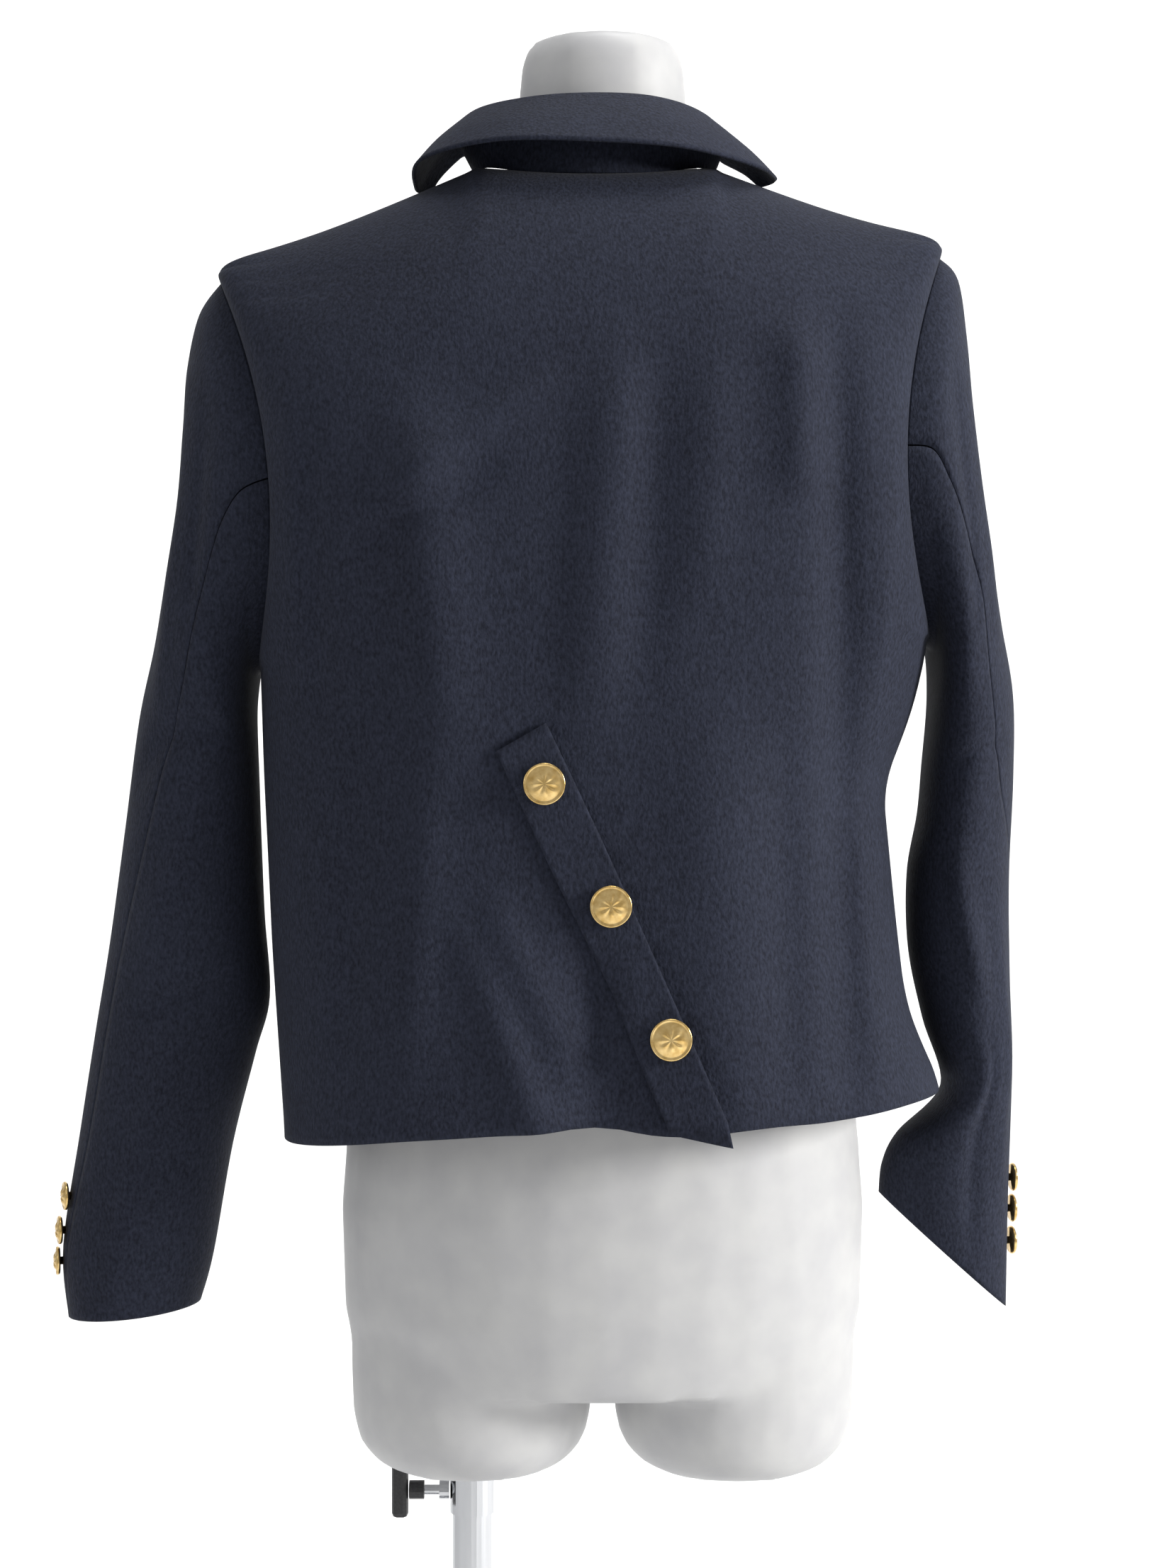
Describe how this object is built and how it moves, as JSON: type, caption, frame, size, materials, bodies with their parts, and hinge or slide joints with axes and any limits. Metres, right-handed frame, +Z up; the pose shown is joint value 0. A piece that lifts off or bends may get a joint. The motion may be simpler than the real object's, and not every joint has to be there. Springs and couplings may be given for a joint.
{
  "type": "cropped blazer on a dress form",
  "caption": "Cropped blazer with two-piece sleeves and a buttoned diagonal back vent strap, hanging askew on a limbless dress form on a pole stand.",
  "frame": {"origin": "centre of the stand base's underside, on the floor under the form", "axes": "+X to the wearer's right, +Y towards the garment's front, +Z up"},
  "size_m": [0.5903, 0.38, 1.302],
  "materials": {
    "wool": "matte wool crepe",
    "gilt": "polished gilt",
    "form": "smooth matte white",
    "stand_metal": "polished",
    "black_knob": "moulded black"
  },
  "bodies": {
    "root": {"back": "wool", "front_left": "wool", "front_right": "wool", "lapel_left": "wool", "lapel_right": "wool", "sleeve_left_upper": "wool", "sleeve_left_under": "wool", "sleeve_right_upper": "wool", "sleeve_right_under": "wool", "collar": "wool", "vent_strap": "wool", "back_button_1": "gilt", "back_button_2": "gilt", "back_button_3": "gilt", "front_button_1": "gilt", "front_button_2": "gilt", "front_button_3": "gilt", "sleeve_left_button_1": "gilt", "sleeve_left_button_2": "gilt", "sleeve_left_button_3": "gilt", "sleeve_right_button_1": "gilt", "sleeve_right_button_2": "gilt", "sleeve_right_button_3": "gilt", "form_torso": "form", "stand_base": "stand_metal", "stand_pole": "stand_metal", "stand_clamp": "stand_metal", "stand_screw": "stand_metal", "stand_knob": "black_knob", "stand_wing": "black_knob"}
  },
  "joints": []
}
